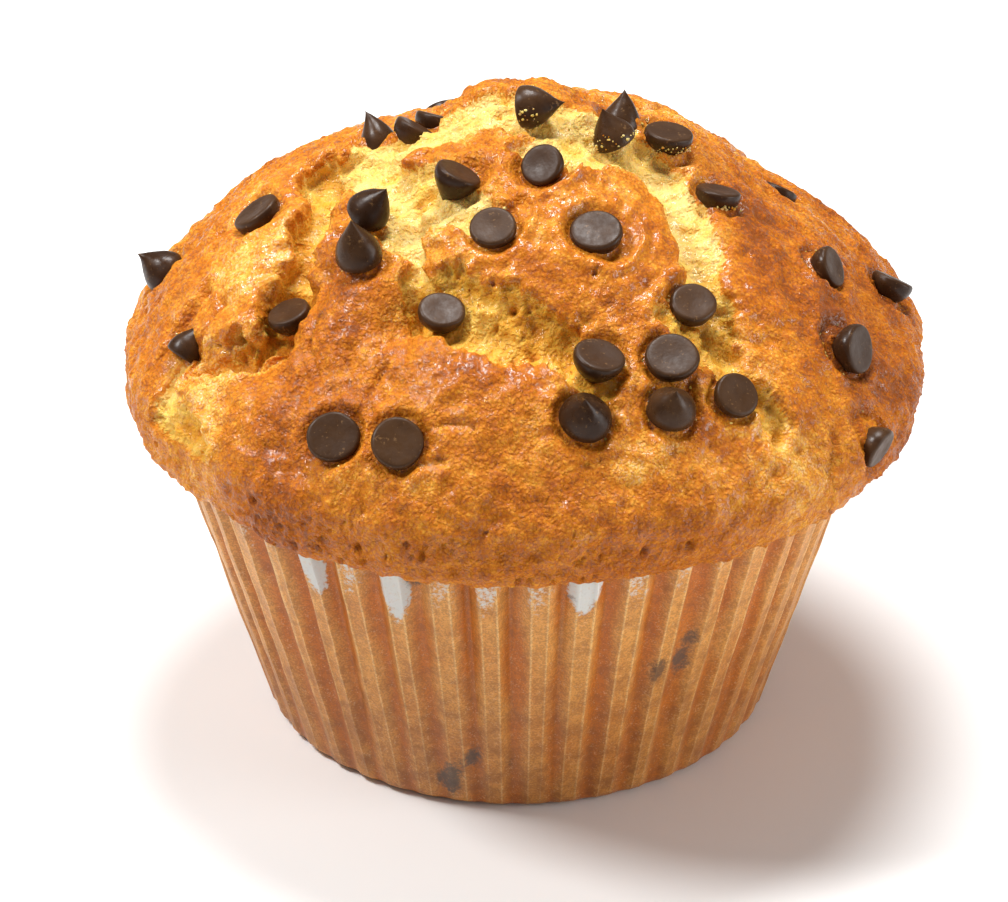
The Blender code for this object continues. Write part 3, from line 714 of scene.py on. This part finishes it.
def buildCase(material):
    outer, inner = caseRows()
    profile = np.concatenate([outer[1:], inner[:-1]])
    count = caseFlute["count"]
    phases = np.array(caseFlute["phases"])
    flute = np.repeat(np.arange(count), len(phases))
    phase = np.tile(phases, count)
    pitch = 360.0 / count
    degrees = caseFlute["first"] + pitch * (flute + phase)
    radius, height, full = (column[:, None] for column in profile.T)
    share = height / caseHeight
    turn = np.radians(degrees)[None, :] + 0 * radius
    around = np.stack([np.sin(turn) * 30, -np.cos(turn) * 30, height + 0 * turn], -1)
    sway = caseFlute["wobble"] * 0.05 * noiseAt(around * (1, 1, 0.5), 9, 101)
    fall = fluteFall(phase[None, :] - fluteShift[flute] + sway, fluteWidth[flute][None, :])
    depth = caseFlute["depthBase"] + (caseFlute["depthRim"] - caseFlute["depthBase"]) * share
    crumple = 0.10 * noiseAt(around, 5, 103) + 0.05 * noiseAt(around, 2.2, 105)
    crumple = crumple * (0.3 + 0.7 * np.clip(share * 4, 0, 1))
    away = radius - full * (depth * fluteDeep[flute] * fall + crumple * (share > 0.01))
    away = np.minimum(away, caseRim + 0.1)
    points = np.stack([away * np.sin(turn), -away * np.cos(turn), height + 0 * turn], -1)
    rows, columns = turn.shape
    index = np.arange(rows * columns).reshape(rows, columns)
    nextColumn = np.roll(index, -1, axis=1)
    quads = np.stack([index[:-1], nextColumn[:-1], nextColumn[1:], index[1:]], -1).reshape(-1, 4)
    low, high = rows * columns, rows * columns + 1
    under = np.stack([nextColumn[0], index[0], np.full(columns, low)], -1)
    floor = np.stack([index[-1], nextColumn[-1], np.full(columns, high)], -1)
    allPoints = np.concatenate([points.reshape(-1, 3), [[0, 0, 0.0], [0, 0, caseFlute["wall"]]]])
    faces = [quads, np.concatenate([under, floor])]
    piece = addPiece("case_paper", allPoints, faces, material, ["paper_case"])
    degrees = (degrees + 180) % 360 - 180
    drift = 1.0 * noiseAt(around, 2.0, 107)
    lift = 1.4 * layeredNoise(around, 2.4, 3, 109)
    dry = np.zeros_like(turn)
    for middle, bottom, half, strength in dryPatches:
        rise = np.clip((height - bottom) / (caseHeight - bottom) + 0.05 * lift, 0, 1)
        gap = np.abs(degrees[None, :] - middle + 0.5 * drift + 1.2 * (1 - rise))
        inside = smoothStep(0.9, -0.9, gap - half * 1.25 * rise**0.8)
        dry = np.maximum(dry, strength * inside * smoothStep(0, 0.25, rise))
    dry *= smoothStep(0.9, 0.5, fall)
    mottled = smoothStep(29, 37, height + 2.2 * lift) * smoothStep(0.7, 0.2, fall) * 0.5
    dry = np.maximum(dry, mottled * smoothStep(-0.2, 0.5, noiseAt(around, 1.7, 111) + 0.2))
    dark, grey = np.zeros_like(turn), np.zeros_like(turn)
    driftedBearing, driftedHeight = degrees[None, :] + 0.7 * drift, height + 0.5 * lift
    for middle, level, half, tall, tilt, strength, greyness in stains:
        wide, high = half * 1.2, tall * 1.2
        blot = strength * hump(driftedBearing, driftedHeight, middle, level, wide, high, tilt)
        grey = np.where(blot > dark, greyness, grey)
        dark = np.maximum(dark, blot)
    dark = smoothStep(0.12, 0.9, dark + 0.10 * drift)
    valley = 0.2 + 0.75 * fall  # deeper in the valleys, whose colour is partly painted shade; below 0.2 on the creases, which get a painted highlight
    ends = np.zeros(2)
    paintPoints(piece, "oil", *(np.concatenate([layer.ravel(), ends]) for layer in (valley, dry, dark, grey)))
    return piece


# In paperLook, valley is oil-soaked orange that is partly painted shade, crease is a painted highlight and
# low is painted shade toward the bottom.
paperLook = dict(
    ridge=paint(218, 148, 66), valley=paint(196, 104, 0), crease=paint(248, 204, 136), low=paint(146, 84, 32),
    brown=paint(124, 66, 20), white=paint(206, 206, 202), greyStain=paint(72, 64, 56),
    brownStain=paint(96, 58, 26), darkFibre=paint(122, 66, 22), paleFibre=paint(240, 200, 150), fibre=0.24,
)


def makePaper():
    material, book, shader, where = startMaterial("oilyPaper")
    oil = book.add("ShaderNodeAttribute", attribute_name="oil")
    split = book.add("ShaderNodeSeparateColor", {0: oil.outputs["Color"]}).outputs
    valley, dry, dark, grey = split[0], split[1], split[2], oil.outputs["Alpha"]
    stretched = book.add("ShaderNodeMapping", {"Vector": where, "Scale": (1.0, 1.0, 0.45)}).outputs[0]
    cloud = book.noise(stretched, 5.5, 4.0, 0.6)
    blot = book.noise(where, 2.2, 4.0, 0.6)
    oilAndValleyShade = book.math("ADD", valley, book.between(cloud, 0.3, 0.7, -0.3, 0.3))
    # Ridge to valley colour: the valleys' deeper orange is partly oil where the paper touches the cake,
    # partly painted shade.
    colour = book.blend(book.between(oilAndValleyShade, 0.1, 1.0), paperLook["ridge"], paperLook["valley"])
    # A painted highlight along each crease, where the fold catches the light.
    crease = book.math("MULTIPLY", book.between(valley, 0.2, 0.13), 0.6)
    colour = book.blend(crease, colour, paperLook["crease"])
    height = book.add("ShaderNodeSeparateXYZ", {0: where}).outputs[2]
    # Painted shade: the paper is darker toward the bottom of the case, in patches.
    bottomShade = book.between(height, 0.030, 0.004, 0.0, 0.55)
    bottomShade = book.math("MULTIPLY", bottomShade, book.between(blot, 0.3, 0.7, 0.55, 1.2))
    colour = book.blend(bottomShade, colour, paperLook["low"])
    browned = book.math("MULTIPLY", book.between(blot, 0.45, 0.75), 0.4)
    colour = book.blend(browned, colour, paperLook["brown"])
    fibres = speckle(book, where, paperLook["fibre"], 0.62)
    colour = book.blend(book.math("MULTIPLY", fibres, 0.36), colour, paperLook["darkFibre"])
    pale = speckle(book, where, paperLook["fibre"] * 0.8, 0.25)
    colour = book.blend(book.math("MULTIPLY", pale, 0.25), colour, paperLook["paleFibre"])
    fineEdge = book.noise(where, 0.5, 3.0, 0.7)
    ragged = book.between(fineEdge, 0.3, 0.7, -0.3, 0.3)
    dryEdge = book.between(book.math("ADD", dry, ragged), 0.3, 0.9, 0.0, 0.92)
    colour = book.blend(dryEdge, colour, paperLook["white"])
    stainColour = book.blend(grey, paperLook["brownStain"], paperLook["greyStain"])
    darkEdge = book.between(book.math("ADD", dark, ragged), 0.15, 1.0, 0.0, 0.85)
    colour = book.blend(darkEdge, colour, stainColour)
    book.feed(shader.inputs["Base Color"], colour)
    book.feed(shader.inputs["Roughness"], book.between(dry, 0.0, 1.0, 0.48, 0.8))
    first = book.bump(book.noise(where, 0.9, 3.0, 0.6), 0.35, 0.15)
    book.feed(shader.inputs["Normal"], book.bump(fineEdge, 0.3, 0.08, first))
    shader.inputs["Subsurface Weight"].default_value = 0.12
    shader.inputs["Subsurface Radius"].default_value = (1.0, 0.5, 0.2)
    shader.inputs["Subsurface Scale"].default_value = 1.0 * mm
    return material


buildCase(makePaper())


chipShape = dict(around=48, seed=5, wobble=0.07, dish=0.10, edge=0.34, tipBend=0.35)


# Profile of a chip, as radius and height, from the middle of its flat face round the edge and up to the tip.
def chipProfile(width, height):
    half, edge = width / 2, chipShape["edge"]
    out = np.linspace(0, 1, 12)[:-1]
    flat = np.stack([out * (half * 0.93 - edge), chipShape["dish"] * (1 - out**2) ** 2], -1)
    bend = np.linspace(-90, 5, 8)[:-1] * math.pi / 180
    corner = np.stack([half * 0.93 - edge + edge * np.cos(bend) * 1.15, edge + edge * np.sin(bend)], -1)
    rise = np.linspace(0, 1, 24)
    body = half * (1 - rise**1.9) ** 1.35 * (1 - 0.05 * (1 - rise) ** 6)
    level = edge + (height - edge) * rise ** 1.02
    body[-1] = 0.0
    return np.concatenate([flat, corner, np.stack([body, level], -1)])


def buildChips(material):
    random = np.random.default_rng(chipShape["seed"])
    around = chipShape["around"]
    angle = np.linspace(0, 2 * math.pi, around, endpoint=False)
    allPoints, quadGroups, triangleGroups, facing, tone = [], [], [], [], []
    start = 0
    for chip in chipPlaces:
        profile = chipProfile(chip["width"], chip["height"])
        ring, level = profile[1:-1, 0][:, None], profile[1:-1, 1][:, None]
        oval = 1 + 0.04 * random.uniform(-1, 1) * np.cos(2 * (angle - random.uniform(0, 6)))
        flatX, flatY = ring * np.cos(angle) * oval, ring * np.sin(angle) * oval
        rise = np.clip((level - chip["height"] * 0.55) / (chip["height"] * 0.45), 0, 1) ** 2
        lean, way = chipShape["tipBend"] * random.uniform(0.2, 1.2), random.uniform(0, 6.28)
        leanX, leanY = lean * math.cos(way), lean * math.sin(way)
        local = np.stack([flatX + rise * leanX, flatY + rise * leanY, level + 0 * angle], -1)
        tip = [leanX, leanY, chip["height"]]
        local = np.concatenate([[[0, 0, profile[0, 1]]], local.reshape(-1, 3), [tip]])
        seed = random.integers(1000)
        push = chipShape["wobble"] * noiseAt(local + seed, 2.4, 121) + 0.025 * noiseAt(local + seed, 0.8, 123)
        local = local * (1 + push[:, None] / 2.5)
        turn = Vector(chip["axis"]).to_track_quat("Z", "Y").to_matrix()
        allPoints.append(local @ np.array(turn).T + chip["face"])
        rows = len(profile) - 2
        index = start + 1 + np.arange(rows * around).reshape(rows, around)
        after = np.roll(index, -1, axis=1)
        quadGroups.append(np.stack([index[:-1], after[:-1], after[1:], index[1:]], -1).reshape(-1, 4))
        last = start + 1 + rows * around
        triangleGroups.append(np.stack([after[0], index[0], np.full(around, start)], -1))
        triangleGroups.append(np.stack([index[-1], after[-1], np.full(around, last)], -1))
        # How much each point lies on the flat face, which the material paints lighter as a lit face: painted
        # light.
        facing.append(smoothStep(chip["height"] * 0.10, 0.0, local[:, 2]))
        tone.append(np.full(len(local), random.uniform(0, 1)))
        start += len(local)
    faces = [np.concatenate(quadGroups), np.concatenate(triangleGroups)]
    piece = addPiece("chocolate_chips", np.concatenate(allPoints), faces, material, chipNodes)
    flat, shade = np.concatenate(facing), np.concatenate(tone)
    paintPoints(piece, "cast", flat, shade, 0 * flat, 0 * flat)
    return piece


# Little lumps of crumb that cling to the chips: an eight-sided gem, cut finer and pushed out unevenly.
crumbSet = dict(seed=9, atFeet=420, onEachChip=44, dusty=(12, 13, 15, 16), small=0.06, large=0.2)


def gem():
    corners = np.array([(1, 0, 0), (-1, 0, 0), (0, 1, 0), (0, -1, 0), (0, 0, 1), (0, 0, -1)], float)
    sides = [(x, y, z) for x in (0, 1) for y in (2, 3) for z in (4, 5)]
    points, faces = list(corners), []
    middles = {}
    for side in sides:
        ring = []
        for first, second in zip(side, side[1:] + side[:1]):
            key = tuple(sorted((first, second)))
            if key not in middles:
                middles[key] = len(points)
                halfway = corners[first] + corners[second]
                points.append(halfway / np.linalg.norm(halfway))
            ring.append(middles[key])
        faces += [(side[0], ring[0], ring[2]), (side[1], ring[1], ring[0]), (side[2], ring[2], ring[1])]
        faces.append(tuple(ring))
    points, faces = np.array(points), np.array(faces)
    a, b, c = points[faces[:, 0]], points[faces[:, 1]], points[faces[:, 2]]
    inward = (np.cross(b - a, c - a) * (a + b + c)).sum(1) < 0
    faces[inward] = faces[inward][:, ::-1]
    return points, faces


def buildCrumbs(material):
    random = np.random.default_rng(crumbSet["seed"])
    feet = crownPoints[(np.abs(chipSide - 0.15) < 0.3) & (along < 1)]
    places = [feet[random.integers(0, len(feet), crumbSet["atFeet"])]]
    for number in crumbSet["dusty"]:
        chip = chipPlaces[number - 1]
        count = crumbSet["onEachChip"]
        turn = np.array(Vector(chip["axis"]).to_track_quat("Z", "Y").to_matrix())
        angle = random.uniform(0, 2 * math.pi, 4 * count)
        level = random.uniform(0.05, 0.5, 4 * count) * chip["height"]
        width = np.interp(level / chip["height"], (0, 0.16, 0.42, 0.78), (0.9, 1.0, 0.82, 0.36))
        ring = width * chip["width"] / 2
        spots = np.stack([ring * np.cos(angle), ring * np.sin(angle), level], -1) @ turn.T + chip["face"]
        middle = chip["face"] + chip["axis"] * chip["height"] * 0.4
        under = ((spots - middle) @ np.array((0.0, -0.45, -0.9))) > 0.3
        places.append(spots[under][:count])
    places = np.concatenate(places)
    points, faces = gem()
    small, large = crumbSet["small"], crumbSet["large"]
    size = random.uniform(0, 1, (len(places), 1, 1)) ** 2 * (large - small) + small
    shape = points[None] * size * random.uniform(0.65, 1.25, (len(places), 1, 3))
    shape = shape * (1 + 0.22 * random.uniform(-1, 1, (len(places), len(points), 1))) + places[:, None]
    allFaces = (faces[None] + (np.arange(len(places)) * len(points))[:, None, None]).reshape(-1, 3)
    piece = addPiece("loose_crumbs", shape.reshape(-1, 3), [allFaces], material, None)
    tone = np.repeat(random.uniform(0.1, 0.7, len(places)), len(points))
    browned = np.repeat(random.uniform(0, 1, len(places)) < 0.25, len(points)).astype(float)
    paintPoints(piece, "bake", tone, 1 - browned, tone * 0.3, 0.1 + 0 * tone)
    return piece


buildCrumbs(bpy.data.materials["bakedCrust"])


chocolateLook = dict(dark=paint(48, 28, 14), bloomAndLitFace=paint(78, 52, 30), dust=paint(150, 112, 72))


def makeChocolate():
    material, book, shader, where = startMaterial("darkChocolate")
    cast = book.add("ShaderNodeAttribute", attribute_name="cast")
    split = book.add("ShaderNodeSeparateColor", {0: cast.outputs["Color"]}).outputs
    haze = book.noise(where, 2.4, 4.0, 0.6)
    haze = book.math("ADD", haze, book.between(split[1], 0.0, 1.0, -0.15, 0.15))
    dark, bloomAndLitFace = chocolateLook["dark"], chocolateLook["bloomAndLitFace"]
    colour = book.blend(book.between(haze, 0.35, 0.75, 0.0, 0.6), dark, bloomAndLitFace)
    # The flat face is painted lighter, toward the colour of a lit face: painted light.
    colour = book.blend(book.math("MULTIPLY", split[0], 0.35), colour, bloomAndLitFace)
    dust = speckle(book, where, 0.35, 0.12)
    colour = book.blend(book.math("MULTIPLY", dust, 0.35), colour, chocolateLook["dust"])
    book.feed(shader.inputs["Base Color"], colour)
    smear = book.noise(where, 1.1, 4.0, 0.65)
    satin = book.between(smear, 0.3, 0.7, 0.24, 0.42)
    book.feed(shader.inputs["Roughness"], book.math("ADD", satin, book.math("MULTIPLY", split[0], 0.1)))
    first = book.bump(book.noise(where, 1.2, 3.0, 0.55), 0.25, 0.12)
    book.feed(shader.inputs["Normal"], book.bump(book.noise(where, 0.3, 2.0, 0.5), 0.12, 0.05, first))
    shader.inputs["Specular IOR Level"].default_value = 0.2
    return material


buildChips(makeChocolate())


studio = dict(
    distance=620.0, rise=30.3, lens=195.7, aimHeight=29.5, aimSide=-1.47,
    floor=paint(246, 246, 245), world=(1.0, 1.0, 1.0), worldPower=0.25,
    lights=(  # name, bearing, rise, distance, size, watts
        ("keyLight", -85, 52, 600, 150, 3.0), ("backLight", 175, 74, 600, 240, 4.0),
        ("sideLight", 74, 10, 600, 340, 1.7)),
)


# A point at a bearing, rise and distance from a height on the axis.
def aroundPoint(bearing, rise, distance, level):
    turn, up = math.radians(bearing), math.radians(rise)
    flat = distance * math.cos(up)
    return Vector((flat * math.sin(turn), -flat * math.cos(turn), level + distance * math.sin(up))) * mm


def aimAt(thing, target):
    thing.rotation_euler = (thing.location - target).to_track_quat("Z", "Y").to_euler()


def buildStudio():
    scene = bpy.context.scene
    material, book, shader, where = startMaterial("paleFloor")
    shader.inputs["Base Color"].default_value = (*studio["floor"], 1.0)
    shader.inputs["Roughness"].default_value = 0.7
    mesh = bpy.data.meshes.new("floor")
    reach = 3.0
    corners = [(-reach, -reach, 0), (reach, -reach, 0), (reach, reach, 0), (-reach, reach, 0)]
    mesh.from_pydata(corners, [], [(0, 1, 2, 3)])
    mesh.materials.append(material)
    floor = bpy.data.objects.new("floor", mesh)
    scene.collection.objects.link(floor)
    world = bpy.data.worlds.new("studio")
    world.use_nodes = True
    world.node_tree.nodes["Background"].inputs[0].default_value = (*studio["world"], 1.0)
    world.node_tree.nodes["Background"].inputs[1].default_value = studio["worldPower"]
    scene.world = world
    middle = Vector((0, 0, 45 * mm))
    for name, bearing, rise, distance, size, watts in studio["lights"]:
        light = bpy.data.lights.new(name, "AREA")
        light.shape, light.size, light.energy = "DISK", size * mm, watts
        lamp = bpy.data.objects.new(name, light)
        lamp.location = aroundPoint(bearing, rise, distance, 45)
        aimAt(lamp, middle)
        scene.collection.objects.link(lamp)
    lens = bpy.data.cameras.new("camera")
    lens.lens, lens.sensor_width, lens.clip_start, lens.clip_end = studio["lens"], 36.0, 0.01, 20.0
    camera = bpy.data.objects.new("camera", lens)
    camera.location = aroundPoint(0, studio["rise"], studio["distance"], studio["aimHeight"])
    aimAt(camera, Vector((0, 0, studio["aimHeight"] * mm)))
    camera.location.x += studio["aimSide"] * mm
    scene.collection.objects.link(camera)
    scene.camera = camera
    scene.view_settings.view_transform = "Standard"
    print("studio: floor, lights and camera are set")


buildStudio()
